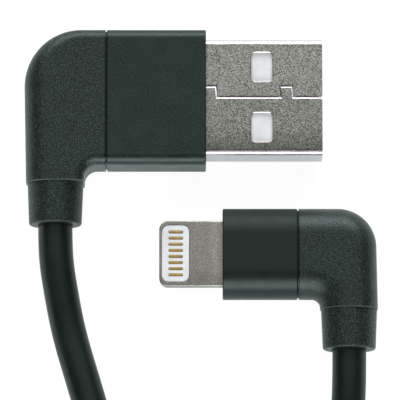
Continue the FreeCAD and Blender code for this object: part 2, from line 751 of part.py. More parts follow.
def cord_routes():
    """Corners of the two free stretches, from each collar to the coil."""
    floor = cord_d / 2
    usb_exit = Vector(usb_x, usb_y + usb_end_v - usb_relief_length, usb_mid)
    phone_exit = Vector(phone_x, phone_y + phone_end_v - phone_relief_length, phone_mid)
    lead = coil_heading(0)
    tail = coil_heading(coil_span)
    coil_start = coil_point(0) - lead * cord_d
    coil_end = coil_point(coil_span) + tail * cord_d
    usb_route = [
        usb_exit,
        Vector(usb_x, usb_exit.y - 3.0, usb_mid),
        Vector(usb_x + 0.55, usb_exit.y - 6.6, floor + 0.65),
        Vector(usb_x + 1.40, usb_exit.y - 11.0, floor),
        Vector(usb_x + 2.85, usb_exit.y - 15.8, floor),
        Vector(usb_x + 4.40, usb_exit.y - 21.0, floor),
        Vector(usb_x + 5.00, usb_exit.y - 26.8, floor),
        Vector(usb_x + 4.40, usb_exit.y - 32.6, floor),
        coil_start - lead * 4.6,
        coil_start,
    ]
    phone_route = [
        coil_end,
        coil_end + tail * 3.6,
        Vector(phone_x + 9.35, phone_exit.y - 22.8, floor + 3.65),
        Vector(phone_x + 6.50, phone_exit.y - 20.0, floor + 2.20),
        Vector(phone_x + 3.10, phone_exit.y - 16.4, floor + 0.70),
        Vector(phone_x + 0.80, phone_exit.y - 12.4, floor + 0.05),
        Vector(phone_x - 0.25, phone_exit.y - 7.8, floor + 0.45),
        Vector(phone_x, phone_exit.y - 3.7, phone_mid),
        phone_exit,
    ]
    return usb_route, phone_route


def cord():
    section = math.pi * cord_d ** 2 / 4
    total = 0.0
    for name, route in zip(("cord_usb_end", "cord_phone_end"), cord_routes()):
        path, radii = runs_path(route)
        solid = tube(path, route[0], unit(route[1] - route[0]))
        print(name, "runs", [round((b - a).Length, 1) for a, b in zip(route, route[1:])], "radii", radii)
        print(name, "length", round(path.Length, 2), "volume over section", round(solid.Volume / section, 2))
        total += path.Length
        save(solid, name)
    path = coil_path()
    solid = tube(path, coil_point(0) - coil_heading(0) * cord_d, coil_heading(0))
    total += path.Length
    print("cord_coil length", round(path.Length, 2), "volume over section", round(solid.Volume / section, 2))
    samples = [coil_point(coil_span * number / 700) for number in range(701)]
    print("cord_coil least gap to itself", round(least_gap(samples, 45), 3))
    print("cord total length", round(total, 1))
    save(solid, "cord_coil")


def cord_tie():
    """Flat strap round the turns at the side of the coil away from the plugs."""
    below = math.radians(270.0 - coil_entry) / (2 * math.pi)
    radii = []
    turn = below
    while turn < coil_span:
        radii.append(coil_state(turn)[0])
        turn += 1.0
    inner = math.sqrt((min(radii) - cord_d / 2) ** 2 - (tie_width / 2) ** 2) - tie_gap
    outer = max(radii) + cord_d / 2 + tie_gap
    top = coil_lift + cord_d + coil_pitch + tie_gap
    bottom = tie_thickness
    middle_y = coil_y - (inner + outer) / 2
    middle_z = (top + bottom) / 2
    width = outer - inner
    height = top - bottom

    def strap(grow, corner):
        loop = rounded_loop(width + 2 * grow, height + 2 * grow, corner,
                            lambda a, b: Vector(coil_x - tie_width / 2, middle_y + a, middle_z + b))
        return Part.Face(loop).extrude(Vector(tie_width, 0, 0))

    save(strap(tie_thickness, tie_corner + tie_thickness).cut(strap(0.0, tie_corner)), "cord_tie")


os.makedirs("parts", exist_ok=True)
usb_housing()
usb_shell()
phone_housing()
phone_tab()
cord()
cord_tie()
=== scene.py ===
import json
import math
from collections import namedtuple

import bmesh
import bpy
from bpy.props import FloatProperty, FloatVectorProperty, IntProperty, PointerProperty
from bpy.types import Operator, Panel, PropertyGroup
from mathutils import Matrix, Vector


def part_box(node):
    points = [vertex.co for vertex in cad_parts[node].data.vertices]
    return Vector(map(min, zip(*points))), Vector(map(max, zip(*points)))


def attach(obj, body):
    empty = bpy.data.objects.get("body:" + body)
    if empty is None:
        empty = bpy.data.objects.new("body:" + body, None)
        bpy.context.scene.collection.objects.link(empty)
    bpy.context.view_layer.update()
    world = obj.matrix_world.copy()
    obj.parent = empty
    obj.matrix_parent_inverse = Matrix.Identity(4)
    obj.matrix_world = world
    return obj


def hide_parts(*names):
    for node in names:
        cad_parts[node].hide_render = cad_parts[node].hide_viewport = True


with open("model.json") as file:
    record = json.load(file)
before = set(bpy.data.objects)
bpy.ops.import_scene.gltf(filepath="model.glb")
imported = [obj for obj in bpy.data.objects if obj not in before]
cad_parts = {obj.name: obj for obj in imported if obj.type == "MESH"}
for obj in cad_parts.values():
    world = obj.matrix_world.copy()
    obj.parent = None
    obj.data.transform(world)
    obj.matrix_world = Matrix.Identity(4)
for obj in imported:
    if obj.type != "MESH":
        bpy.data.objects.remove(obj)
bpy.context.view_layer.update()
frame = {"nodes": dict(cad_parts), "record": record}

bl_info = {
    "name": "Right-Angle Charging Cable",
    "version": (1, 0, 0),
    "blender": (4, 5, 0),
    "location": "3D View > Sidebar > Cable",
    "description": "Models and finishes a charging cable with two right-angle plugs",
    "category": "Add Mesh",
}

MM = 0.001
BODY = "root"

# Place of a plug: its axis and the cord's axis cross at (x, y, z). A turned plug points towards -X.
Plug = namedtuple("Plug", "x y z turned")
USB = Plug(-14.95, 9.35, 3.0, False)
PHONE = Plug(14.95, -6.55, 3.0, True)
UNMOVED = Plug(0.0, 0.0, 0.0, False)

# Millimetres
REAR = 5.23                   # from the cord's axis to the rear end of a sleeve
INSERT_BACK = 1.67            # from the tab's tip to the middle of its white insert
FIT = 0.1                     # by how much a sleeve's mouth is wider than the metal in it
OVER = 1.0                    # by how much a cutter stands out of what it cuts
ELBOW_GAP_SHADE = (9.84, 0.12)     # painted shade in a dark band on the elbows at the gap: distance from x = 0, half its width
SLEEVE_GAP_SHADE = (9.74, 0.13)    # the same on the sleeves

# Points of the cord past each collar, in millimetres: sideways, away from the collar, above the table's level
USB_ROUTE = ((0.0, 3.0, 1.25), (0.55, 6.6, 0.65), (1.40, 11.0, 0.0), (2.85, 15.8, 0.0), (4.40, 21.0, 0.0),
             (5.00, 26.8, 0.0), (4.40, 32.6, 0.0))
PHONE_ROUTE = ((0.0, 3.7, 1.25), (-0.25, 7.8, 0.45), (0.80, 12.4, 0.05), (3.10, 16.4, 0.70),
               (6.50, 20.0, 2.20), (9.35, 22.8, 3.65))

HALF_PICTURE, CAMERA_AWAY = 200, 4900          # half the picture's width and the camera's distance, in pixels
AIM = Vector((-0.0002, -0.000925, 0.003))      # what the camera looks at, in metres
LAMP_AWAY = 2.0                                # distance of the lamps, in metres

# Colour and roughness of the plain slots, and colours of the steel ones
PLAIN = {
    "mould_plastic": ("151817", 0.55),
    "chip_black": ("1A1B1C", 0.5),
    "capacitor_beige": ("B79F7C", 0.45),
    "wire_red": ("A32A22", 0.4),
    "wire_white": ("D8D8D4", 0.4),
    "wire_green": ("2C7A3F", 0.4),
    "wire_black": ("1B1C1D", 0.4),
}
STEEL = {"shield_steel": "B8B6B0", "ferrule_steel": "A5A39E"}


# Settings

def colour(code):
    """Linear colour of a code such as 3A4543."""
    parts = [int(code[start:start + 2], 16) / 255 for start in (0, 2, 4)]
    return tuple(part / 12.92 if part < 0.04045 else ((part + 0.055) / 1.055) ** 2.4 for part in parts)


def length(name, millimetres, description):
    return FloatProperty(name=name, description=description, default=millimetres * MM, min=0.0,
                         subtype="DISTANCE", unit="LENGTH", precision=5)


def tint(name, code, description):
    return FloatVectorProperty(name=name, description=description, default=colour(code), size=3,
                               min=0.0, max=1.0, subtype="COLOR")


def amount(name, value, description):
    return FloatProperty(name=name, description=description, default=value, min=0.0)


class CableCordSizes(PropertyGroup):
    diameter: length("Diameter", 3.5, "Outside diameter of the cord's jacket")
    whole: length("Whole length", 1000.0, "Length of the cord between the two plugs")
    coil_radius: length("Coil radius", 26.5, "Radius of the outermost turn, at its middle")
    coil_pitch: length("Coil pitch", 3.95, "Distance from one turn to the next")
    tie_width: length("Tie width", 4.0, "Width of the strap that holds the coil")
    tie_sheet: length("Tie thickness", 0.5, "Thickness of the strap")
    points_per_turn: IntProperty(name="Points per turn", description="Points of the cord's line on each turn",
                                 default=16, min=12, max=48)


# Label and meaning of the sizes that both ends have
HOUSING = {
    "width": ("Width", "Width of the sleeve and elbow"),
    "thickness": ("Thickness", "Height of the housing above the table"),
    "edge": ("Edge rounding", "Rounding of the long edges"),
    "leg_edge": ("Outer edge rounding", "Rounding of the elbow's edge that faces away from the tip"),
    "corner": ("Corner", "Outer corner of the elbow, seen from above"),
    "inner_corner": ("Inner corner", "Corner between the elbow and its leg"),
    "side_top": ("Side at the corner", "From the cord's axis to the outer side, at the corner"),
    "side_end": ("Side at the collar", "From the cord's axis to the outer side, at the collar"),
    "leg": ("Leg", "How far the elbow reaches past the side of the sleeve"),
    "collar": ("Collar", "Length of the strain relief"),
    "sleeve": ("Sleeve", "Length of the sleeve"),
    "reach": ("Plug reach", "How far the metal stands out of the sleeve"),
}


def housing(**sizes):
    """Settings of these sizes, given in millimetres."""
    return {name: length(HOUSING[name][0], size, HOUSING[name][1]) for name, size in sizes.items()}


class CableUsbSizes(PropertyGroup):
    __annotations__ = housing(width=14.0, thickness=6.0, edge=1.05, leg_edge=2.4, corner=5.8,
                              inner_corner=1.3, side_top=3.2, side_end=3.0, leg=1.65, collar=4.25,
                              sleeve=10.13, reach=11.87)
    shell_width: length("Shell width", 12.0, "Width of the metal shell")
    shell_height: length("Shell height", 4.5, "Height of the metal shell")
    shell_sheet: length("Shell sheet", 0.3, "Thickness of the shell's sheet")


class CablePhoneSizes(PropertyGroup):
    __annotations__ = housing(width=9.3, thickness=6.0, edge=2.9, leg_edge=2.4, corner=3.9,
                              inner_corner=0.9, side_top=2.8, side_end=2.92, leg=1.1, collar=4.05,
                              sleeve=7.62, reach=6.45)
    tab_width: length("Tab width", 6.7, "Width of the metal tab")
    tab_sheet: length("Tab thickness", 1.5, "Thickness of the metal tab")
    pad_pitch: length("Contact pitch", 0.63, "Distance from one flat contact to the next")


class CableFinishes(PropertyGroup):
    elbow: tint("Elbow", "141F1C", "Spark-textured plastic of the elbows and collars")
    sleeve: tint("Sleeve", "18241F", "Satin plastic of the sleeves")
    cord: tint("Cord", "0C1512", "Matte jacket of the cord")
    shell: tint("Shell", "B9BBB2", "Nickel-plated steel of the large plug")
    tab: tint("Tab", "BCB9B1", "Satin steel of the small plug")
    white: tint("White plastic", "F2F6F8", "Insulators of both plugs")
    gilt: tint("Gilding", "D9B673", "Contacts of both plugs")
    strap: tint("Strap", "232826", "Fabric of the coil's tie")


class CableStage(PropertyGroup):
    tilt: FloatProperty(name="Camera tilt", description="Angle of the camera from straight above",
                        default=math.radians(9.6), subtype="ANGLE", unit="ROTATION")
    distance: length("Camera distance", 500.0, "From the camera to the middle of the plugs")
    world: amount("Surround", 0.08, "Strength of the surround")
    front: amount("Front lamp", 47.0, "Power of the soft lamp in front, in watts")
    back: amount("Back lamp", 42.0, "Power of the soft lamp behind, in watts")
    top: amount("Top lamp", 10.0, "Power of the soft lamp overhead, in watts")


# Shading

class Value:
    """Output of a shader node. Arithmetic on it adds Math nodes."""

    def __init__(self, finish, socket):
        self.finish, self.socket = finish, socket

    def math(self, operation, other=0.0):
        return self.finish.node("ShaderNodeMath", {0: self, 1: other}, operation=operation)

    def __add__(self, other):
        return self.math("ADD", other)

    def __sub__(self, other):
        return self.math("SUBTRACT", other)

    def __mul__(self, other):
        return self.math("MULTIPLY", other)

    def __truediv__(self, other):
        return self.math("DIVIDE", other)

    def __abs__(self):
        return self.math("ABSOLUTE")

    def fade(self, low, high, start=0.0, stop=1.0):
        """Goes smoothly from start, where this is low, to stop, where it is high."""
        sockets = {"Value": self, "From Min": low, "From Max": high, "To Min": start, "To Max": stop}
        return self.finish.node("ShaderNodeMapRange", sockets, interpolation_type="SMOOTHSTEP")

    def line(self, at, half):
        """1 where this is at that number, gone where it is half the line's width away."""
        return abs(self - at).fade(half, half * 0.4)

    def mix(self, first, second):
        """Colour between two, the first where this is 0."""
        return self.finish.node("ShaderNodeMix", {0: self, 6: opaque(first), 7: opaque(second)}, 2,
                                data_type="RGBA")

    def tones(self, tone, low, high):
        """Colour between two strengths of one tone."""
        return self.mix(scaled(tone, low), scaled(tone, high))

    def bump(self, millimetres):
        return self.finish.node("ShaderNodeBump",
                                {"Height": self, "Distance": millimetres * MM, "Strength": 1.0})


class Finish:
    """Material whose nodes are added one by one."""

    def __init__(self, name):
        self.material = bpy.data.materials.new(name)
        self.material.use_nodes = True
        self.tree = self.material.node_tree
        self.tree.nodes.clear()

    def node(self, kind, sockets, output=0, **settings):
        """Adds a node. Sockets are named or numbered, and hold a number, a colour or another node's Value."""
        added = self.tree.nodes.new(kind)
        for name, value in settings.items():
            setattr(added, name, value)
        for key, value in sockets.items():
            if isinstance(value, Value):
                self.tree.links.new(value.socket, added.inputs[key])
            else:
                added.inputs[key].default_value = value
        return Value(self, added.outputs[output]) if added.outputs else None

    def place(self):
        return self.node("ShaderNodeTexCoord", {}, "Object")

    def grain(self, millimetres, detail=2.0, stretch=(1.0, 1.0, 1.0)):
        """Noise from 0 to 1 whose spots are about this large."""
        where = self.node("ShaderNodeMapping", {"Vector": self.place(), "Scale": stretch})
        return self.node("ShaderNodeTexNoise",
                         {"Vector": where, "Scale": 1.0 / (millimetres * MM), "Detail": detail})

    def axis(self, name):
        """Object coordinate in metres."""
        return self.node("ShaderNodeSeparateXYZ", {0: self.place()}, name)

    def gap_shade(self, shade, band):
        """The shade, black in a band of painted shade beside the gap between elbow and sleeve."""
        at, half = band
        return abs(self.axis("X")).line(at * MM, half * MM).mix(shade, BLACK)

    def surface(self, shade, roughness, relief, **others):
        shader = self.node("ShaderNodeBsdfPrincipled",
                           {"Base Color": shade, "Roughness": roughness, "Normal": relief, **others})
        self.node("ShaderNodeOutputMaterial", {"Surface": shader})


METAL = {"Metallic": 1.0}
SHEEN = {"Specular Tint": (0.77, 1.0, 0.95, 1.0)}    # cool cast of the light that dark plastic throws back
BLACK = (0.0, 0.0, 0.0)


def opaque(value):
    """A colour with full alpha, or the Value as it is."""
    return value if isinstance(value, Value) else (*value[:3], 1.0)


def scaled(tone, factor):
    return tuple(min(1.0, part * factor) for part in tone)


def spark_plastic(finish, tone, ends=(), roughness=0.35):
    """Plastic with the fine pitted texture of a spark-eroded mould, its pits and specks painted dark and pale
    as painted shade and glints, and a painted highlight in a pale line at each end.
    """
    pits = finish.grain(0.13, 3.0)
    cloud = finish.grain(1.8, 4.0)
    shade = cloud.fade(0.3, 0.7).tones(tone, 0.7, 1.25)
    # Painted shade and glints: the pits are painted dark and the specks pale, standing in for the light on
    # the pitted relief.
    shade = pits.fade(0.6, 0.34).mix(shade, scaled(tone, 0.1))
    shade = pits.fade(0.44, 0.76).mix(shade, colour("48524E"))
    across = finish.axis("Y")
    # Painted highlight: a pale line along the rounded edge where each elbow meets its collar.
    for end in ends:
        shade = (across.line(end, 0.1 * MM) * 0.3).mix(shade, colour("74827D"))
    finish.surface(finish.gap_shade(shade, ELBOW_GAP_SHADE),
                   pits.fade(0.3, 0.7, roughness + 0.1, roughness - 0.1), pits.bump(0.03), **SHEEN)


def satin_plastic(finish, tone):
    """Smooth plastic with a faint bloom from handling. The small sleeve is darker, as painted shade, and
    duller.
    """
    fine = finish.grain(0.2, 3.0)
    cloud = finish.grain(1.8, 3.0)
    across = finish.axis("Y")
    small = across.fade(1.5 * MM, -1.5 * MM)
    dull = small * across.fade((PHONE.y - 3.1) * MM, (PHONE.y - 1.6) * MM, 0.02, 0.21)
    shade = cloud.fade(0.3, 0.7).tones(tone, 0.42, 0.82)
    shade = fine.fade(0.4, 0.7).mix(shade, scaled(tone, 1.7))
    # Painted shade: the small sleeve's colour is darkened.
    shade = (small * 0.9).mix(shade, scaled(tone, 0.12))
    finish.surface(finish.gap_shade(shade, SLEEVE_GAP_SHADE),
                   cloud.fade(0.25, 0.75, 0.33, 0.41) + dull, fine.bump(0.004), **SHEEN)


def jacket_plastic(finish, tone):
    """Soft extruded jacket, smooth and matte."""
    fine = finish.grain(0.2, 3.0)
    cloud = finish.grain(3.5, 3.0)
    shade = cloud.fade(0.3, 0.7).tones(tone, 0.5, 0.85)
    finish.surface(fine.fade(0.4, 0.75).mix(shade, scaled(tone, 1.9)),
                   cloud.fade(0.25, 0.75, 0.38, 0.46), fine.bump(0.004), **SHEEN)


def plain_plastic(finish, tone, roughness):
    """Small moulded or extruded parts."""
    cloud = finish.grain(1.1, 3.0)
    finish.surface(cloud.fade(0.3, 0.7).tones(tone, 0.93, 1.05),
                   cloud.fade(0.25, 0.75, roughness - 0.04, roughness + 0.06), finish.grain(0.15).bump(0.003))


def speckled_nickel(finish, tone):
    """Plated sheet whose flat faces sparkle with fine grains and carry painted shade towards -Y, and whose
    bends and walls are bright, with a painted lavender reflection tint.
    """
    grains = finish.grain(0.1)
    cloud = finish.grain(1.5)
    half = bpy.context.scene.cable_usb.shell_height / 2
    flat = abs(finish.axis("Z") - USB.z * MM).fade(half - 0.025 * MM, half - 0.006 * MM)
    across = finish.axis("Y")
    off_middle = abs(across - USB.y * MM)
    shade = grains.fade(0.39, 0.61).tones(tone, 0.38, 1.56)
    shade = cloud.fade(0.3, 0.7, 0.0, 0.25).mix(shade, scaled(tone, 0.85))
    # Painted shade: the flat faces grow darker towards the -Y side of the shell.
    shade = across.fade(8.9 * MM, 10.1 * MM, 0.78, 0.9).mix(BLACK, shade)
    shade = across.fade(3.8 * MM, 6.6 * MM, 0.6, 1.0).mix(BLACK, shade)
    # Darker towards the long edges.
    shade = off_middle.fade(4.9 * MM, 5.7 * MM, 0.0, 0.22).mix(shade, BLACK)
    # The bends and walls get a pale lavender colour of their own, a painted reflection tint.
    finish.surface(flat.mix(colour("DCD4D8"), shade),
                   cloud.fade(0.25, 0.75, 0.26, 0.34), (grains * flat).bump(0.02), **METAL)


def satin_steel(finish, tone):
    """Rolled steel with a soft mottled sheen."""
    mottle = finish.grain(0.25, 3.0)
    streak = finish.grain(0.5, 3.0, (1.0, 0.25, 1.0))
    shade = mottle.fade(0.3, 0.7).tones(tone, 0.9, 1.08)
    finish.surface(streak.fade(0.35, 0.65, 0.0, 0.3).mix(shade, scaled(tone, 0.85)),
                   mottle.fade(0.25, 0.75, 0.3, 0.38), mottle.bump(0.004), **METAL)


def mottled_tab_steel(finish, tone):
    """Steel of the small plug: mottled, lighter in a band beside the sleeve than towards the tip, and darker
    along its -Y edge.
    """
    mottle = finish.grain(0.13)
    cloud = finish.grain(1.2, 3.0)
    shade = mottle.fade(0.36, 0.64).tones(tone, 0.68, 1.34)
    shade = cloud.fade(0.3, 0.7, 0.0, 0.5).mix(shade, scaled(tone, 0.85))
    # Lighter beside the sleeve and darker towards the tip, then darker along the -Y edge.
    shade = finish.axis("X").fade(0.3 * MM, 1.5 * MM, 0.8, 1.0).mix(BLACK, shade)
    shade = finish.axis("Y").fade(-9.3 * MM, -7.8 * MM, 0.82, 1.0).mix(BLACK, shade)
    finish.surface(shade, cloud.fade(0.25, 0.75, 0.3, 0.38), mottle.bump(0.006), **METAL)


def gilding(finish, tone):
    """Thin gold over nickel, a little uneven, with painted shade round the rims of the small plug's contacts.
    """
    cloud = finish.grain(0.35, 3.0)
    streak = finish.grain(0.16, 2.0, (0.3, 1.0, 1.0))
    across = finish.axis("Y")
    step = (across - PHONE.y * MM) / bpy.context.scene.cable_phone.pad_pitch
    # Painted shade: brown rims round each of the small plug's contacts.
    rim = abs(step.math("FRACT") - 0.5).fade(0.15, 0.21) * across.fade(0.0, -1.0 * MM)
    shade = cloud.fade(0.35, 0.7).tones(tone, 1.0, 0.85)
    shade = streak.fade(0.4, 0.65, 0.0, 0.7).mix(shade, scaled(tone, 0.62))
    finish.surface(rim.mix(shade, colour("8A6A4A")),
                   cloud.fade(0.3, 0.7, 0.3, 0.42), finish.grain(0.08).bump(0.002), **METAL)


def woven_strap(finish, tone):
    """Woven tape with fine ribs across it."""
    ribs = finish.node("ShaderNodeTexWave", {"Vector": finish.place(), "Scale": 1.0 / (2.4 * MM),
                                             "Distortion": 1.5}, bands_direction="X")
    fuzz = finish.grain(0.12, 3.0)
    finish.surface((fuzz + ribs * 0.4).fade(0.4, 1.0).tones(tone, 0.7, 1.9),
                   fuzz.fade(0.3, 0.7, 0.82, 0.95), (fuzz + ribs).bump(0.05))


def circuit_board(finish, tone):
    """Green lacquer over glass weave."""
    weave = finish.grain(0.3, 2.0, (1.0, 0.3, 1.0))
    finish.surface(weave.fade(0.4, 0.65).tones(tone, 1.0, 1.6),
                   weave.fade(0.3, 0.7, 0.3, 0.42), weave.bump(0.01))


def elbow_ends():
    """Where the two elbows meet their collars, along Y in metres: the places of their painted highlight
    lines.
    """
    return [(plug.y + arm_end(sizes)) * MM for _, plug, sizes in both_plugs()]


def finish_for(slot):
    """Material of a slot, made the first time that it is asked for."""
    name = "finish_" + slot
    if name in bpy.data.materials:
        return bpy.data.materials[name]
    finish, tones = Finish(name), bpy.context.scene.cable_finishes
    if slot in PLAIN:
        code, roughness = PLAIN[slot]
        plain_plastic(finish, colour(code), roughness)
    elif slot in STEEL:
        satin_steel(finish, colour(STEEL[slot]))
    else:
        fill_in, *settings = {
            "elbow_plastic": (spark_plastic, tones.elbow, elbow_ends()),
            "relief_rubber": (spark_plastic, scaled(tones.elbow, 1.05), (), 0.39),
            "sleeve_plastic": (satin_plastic, tones.sleeve),
            "cord_jacket": (jacket_plastic, tones.cord),
            "shell_nickel": (speckled_nickel, tones.shell),
            "tab_steel": (mottled_tab_steel, tones.tab),
            "contact_gilt": (gilding, tones.gilt),
            "white_plastic": (plain_plastic, tones.white, 0.35),
            "board_green": (circuit_board, colour("1E5C3A")),
            "tie_fabric": (woven_strap, tones.strap),
        }[slot]
        fill_in(finish, *settings)
    return finish.material


# Modelling, in millimetres and round the plug's own origin until a piece is set in its place

LEVEL = (0.0, 0.0, 0.0)       # turn of what isn't turned


def rest():
    """Object mode, with nothing selected."""
    if bpy.context.mode != "OBJECT":
        bpy.ops.object.mode_set(mode="OBJECT")
    bpy.ops.object.select_all(action="DESELECT")


def make_active(piece):
    rest()
    piece.select_set(True)
    bpy.context.view_layer.objects.active = piece


def edit(piece):
    make_active(piece)
    bpy.ops.object.mode_set(mode="EDIT")


def start(name, add, **settings):
    """Adds a primitive with its place in its mesh, and goes into edit mode with all of it selected."""
    rest()
    add(**settings)
    piece = bpy.context.object
    piece.name = piece.data.name = name
    bpy.ops.object.transform_apply(location=True, rotation=True, scale=True)
    bpy.ops.object.mode_set(mode="EDIT")
    select_all()
    return piece


def select_all():
    bpy.ops.mesh.select_all(action="SELECT")


def middle(edge):
    return (edge.verts[0].co + edge.verts[1].co) / 2


def choose(kind, choice):
    """Selects only the choice of VERT, EDGE or FACE parts from the mesh in edit mode."""
    bpy.ops.mesh.select_mode(type=kind)
    bpy.ops.mesh.select_all(action="DESELECT")
    mesh = bpy.context.edit_object.data
    shape = bmesh.from_edit_mesh(mesh)
    chosen = choice(shape)
    for part in chosen:
        part.select_set(True)
    shape.select_flush_mode()
    bmesh.update_edit_mesh(mesh)
    if not chosen:
        raise RuntimeError("nothing to shape on " + bpy.context.edit_object.name)


def pick(kind, test):
    """Selects only the parts that pass the test."""
    parts = {"VERT": "verts", "EDGE": "edges", "FACE": "faces"}[kind]
    choose(kind, lambda shape: [part for part in getattr(shape, parts) if test(part)])


def pick_at(kind, axis, *places):
    """Selects only the parts that lie wholly at one of these coordinates."""
    pick(kind, lambda part: any(lies_at(part, axis, place) for place in places))


def close(first, second, room=0.002):
    return abs(first - second) < room


def lies_at(part, axis, value):
    """True if every point of the part has this coordinate."""
    return all(close(vert.co[axis], value) for vert in part.verts)


def on_rim(edge, mid_u, mid_v, long, wide, top):
    """True on the rim, in the upper or lower face of a sheet, of an opening at mid_v to either side."""
    here = middle(edge)
    outside = all(abs(vert.co.z) > top - 0.001 for vert in edge.verts)
    return outside and abs(here.x - mid_u) < long / 2 + 0.01 and abs(abs(here.y) - mid_v) < wide / 2 + 0.01


def extrude(u=0.0, v=0.0, z=0.0):
    bpy.ops.mesh.extrude_region_move(TRANSFORM_OT_translate={"value": (u, v, z)})


def round_edges(radius, steps, affect="EDGES"):
    bpy.ops.mesh.bevel(offset=radius, segments=steps, affect=affect, profile=0.5, clamp_overlap=False)


def round_corners(radius, steps):
    round_edges(radius, steps, "VERTICES")


def round_ends(axis, places, radius, steps):
    """Rounds the edges that lie wholly at one of these coordinates."""
    pick_at("EDGE", axis, *places)
    round_edges(radius, steps)


def turn_outwards():
    select_all()
    bpy.ops.mesh.normals_make_consistent(inside=False)


def split_at(u):
    """Adds a ring of edges at this place along u."""
    bpy.ops.mesh.bisect(plane_co=(u, 0.0, 0.0), plane_no=(1.0, 0.0, 0.0), threshold=0.00001)


def cut_off(point, normal):
    """Cuts away what lies on the side of the plane that the normal points to, and closes the cut."""
    select_all()
    bpy.ops.mesh.bisect(plane_co=point, plane_no=normal, use_fill=True, clear_outer=True, threshold=0.00001)


def rectangle(name, centre, turn, sizes):
    """Flat rectangle, turned about its centre, in edit mode."""
    piece = start(name, bpy.ops.mesh.primitive_plane_add, size=1.0, location=centre, rotation=turn)
    bpy.ops.transform.resize(value=sizes, center_override=centre)
    return piece


def prism(name, centre, turn, sizes, corner, steps, push):
    """Rounded rectangle, pushed out to a solid."""
    piece = rectangle(name, centre, turn, sizes)
    round_corners(corner, steps)
    select_all()
    extrude(*push)
    turn_outwards()
    return piece


def bar(name, u0, u1, width, height, corner, steps=8, mid_v=0.0, mid_z=0.0):
    """Bar along u with a rounded rectangular section."""
    return prism(name, (u0, mid_v, mid_z), (0.0, math.pi / 2, 0.0), (1.0, width, height), corner, steps,
                 (u1 - u0, 0.0, 0.0))


def block(name, u0, u1, v0, v1, z0, z1):
    """Square block, for cutting out a room."""
    return start(name, bpy.ops.mesh.primitive_cube_add, size=1.0,
                 location=((u0 + u1) / 2, (v0 + v1) / 2, (z0 + z1) / 2), scale=(u1 - u0, v1 - v0, z1 - z0))


def plate(name, mid_u, mid_v, long, wide, corner, z0, z1, steps=8):
    """Upright block whose outline from above is a rounded rectangle."""
    return prism(name, (mid_u, mid_v, z0), LEVEL, (long, wide, 1.0), corner, steps, (0.0, 0.0, z1 - z0))


def pin(name, v0, v1, diameter):
    """Round bar along the cord's axis."""
    return start(name, bpy.ops.mesh.primitive_cylinder_add, vertices=64, radius=diameter / 2,
                 depth=v0 - v1, location=(0.0, (v0 + v1) / 2, 0.0), rotation=(math.pi / 2, 0.0, 0.0))


def apply_modifier(piece, kind, settings):
    make_active(piece)
    bpy.ops.object.modifier_add(type=kind)
    modifier = piece.modifiers[-1]
    for name, value in settings.items():
        setattr(modifier, name, value)
    bpy.ops.object.modifier_apply(modifier=modifier.name)


def combine(piece, other, operation):
    """Joins the other piece to the first, or cuts it out, and removes it."""
    apply_modifier(piece, "BOOLEAN", {"operation": operation, "solver": "EXACT", "object": other})
    if not piece.data.vertices:
        raise RuntimeError("nothing is left of " + piece.name)
    make_active(other)
    bpy.ops.object.delete()


def carve(piece, cutter):
    combine(piece, cutter, "DIFFERENCE")


def set_down(piece, plug):
    """Moves a finished shape from the plug's own place, in millimetres, to the object's, in metres."""
    make_active(piece)
    piece.rotation_euler = (0.0, math.pi if plug.turned else 0.0, 0.0)
    piece.location = Vector((plug.x, plug.y, plug.z)) * MM
    piece.scale = (MM, MM, MM)
    bpy.ops.object.transform_apply(location=True, rotation=True, scale=True)


def dress(piece, plug, slot, node):
    """Sets down a finished shape, smooths it, gives it its finish and puts it on the body for its node."""
    set_down(piece, plug)
    bpy.ops.object.shade_smooth_by_angle(angle=math.radians(30.0))
    apply_modifier(piece, "WEIGHTED_NORMAL", {"keep_sharp": True, "mode": "FACE_AREA"})
    piece.data.materials.clear()
    piece.data.materials.append(finish_for(slot))
    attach(piece, BODY)
    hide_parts(node)


def fields(group):
    """Names of the group's own settings."""
    return [name for name in group.bl_rna.properties.keys() if name not in ("rna_type", "name")]


def in_mm(group):
    """The group's lengths as plain numbers in millimetres, and its counts as they are."""
    values = [getattr(group, name) for name in fields(group)]
    return namedtuple("Sizes", fields(group))(*(value / MM if isinstance(value, float) else value
                                                for value in values))


def both_plugs():
    """Name, place and sizes of each plug."""
    scene = bpy.context.scene
    return ("usb", USB, in_mm(scene.cable_usb)), ("phone", PHONE, in_mm(scene.cable_phone))


def arm_end(sizes):
    """Where an elbow's leg ends and its collar begins, along v."""
    return -(sizes.width / 2 + sizes.leg)


# Operators

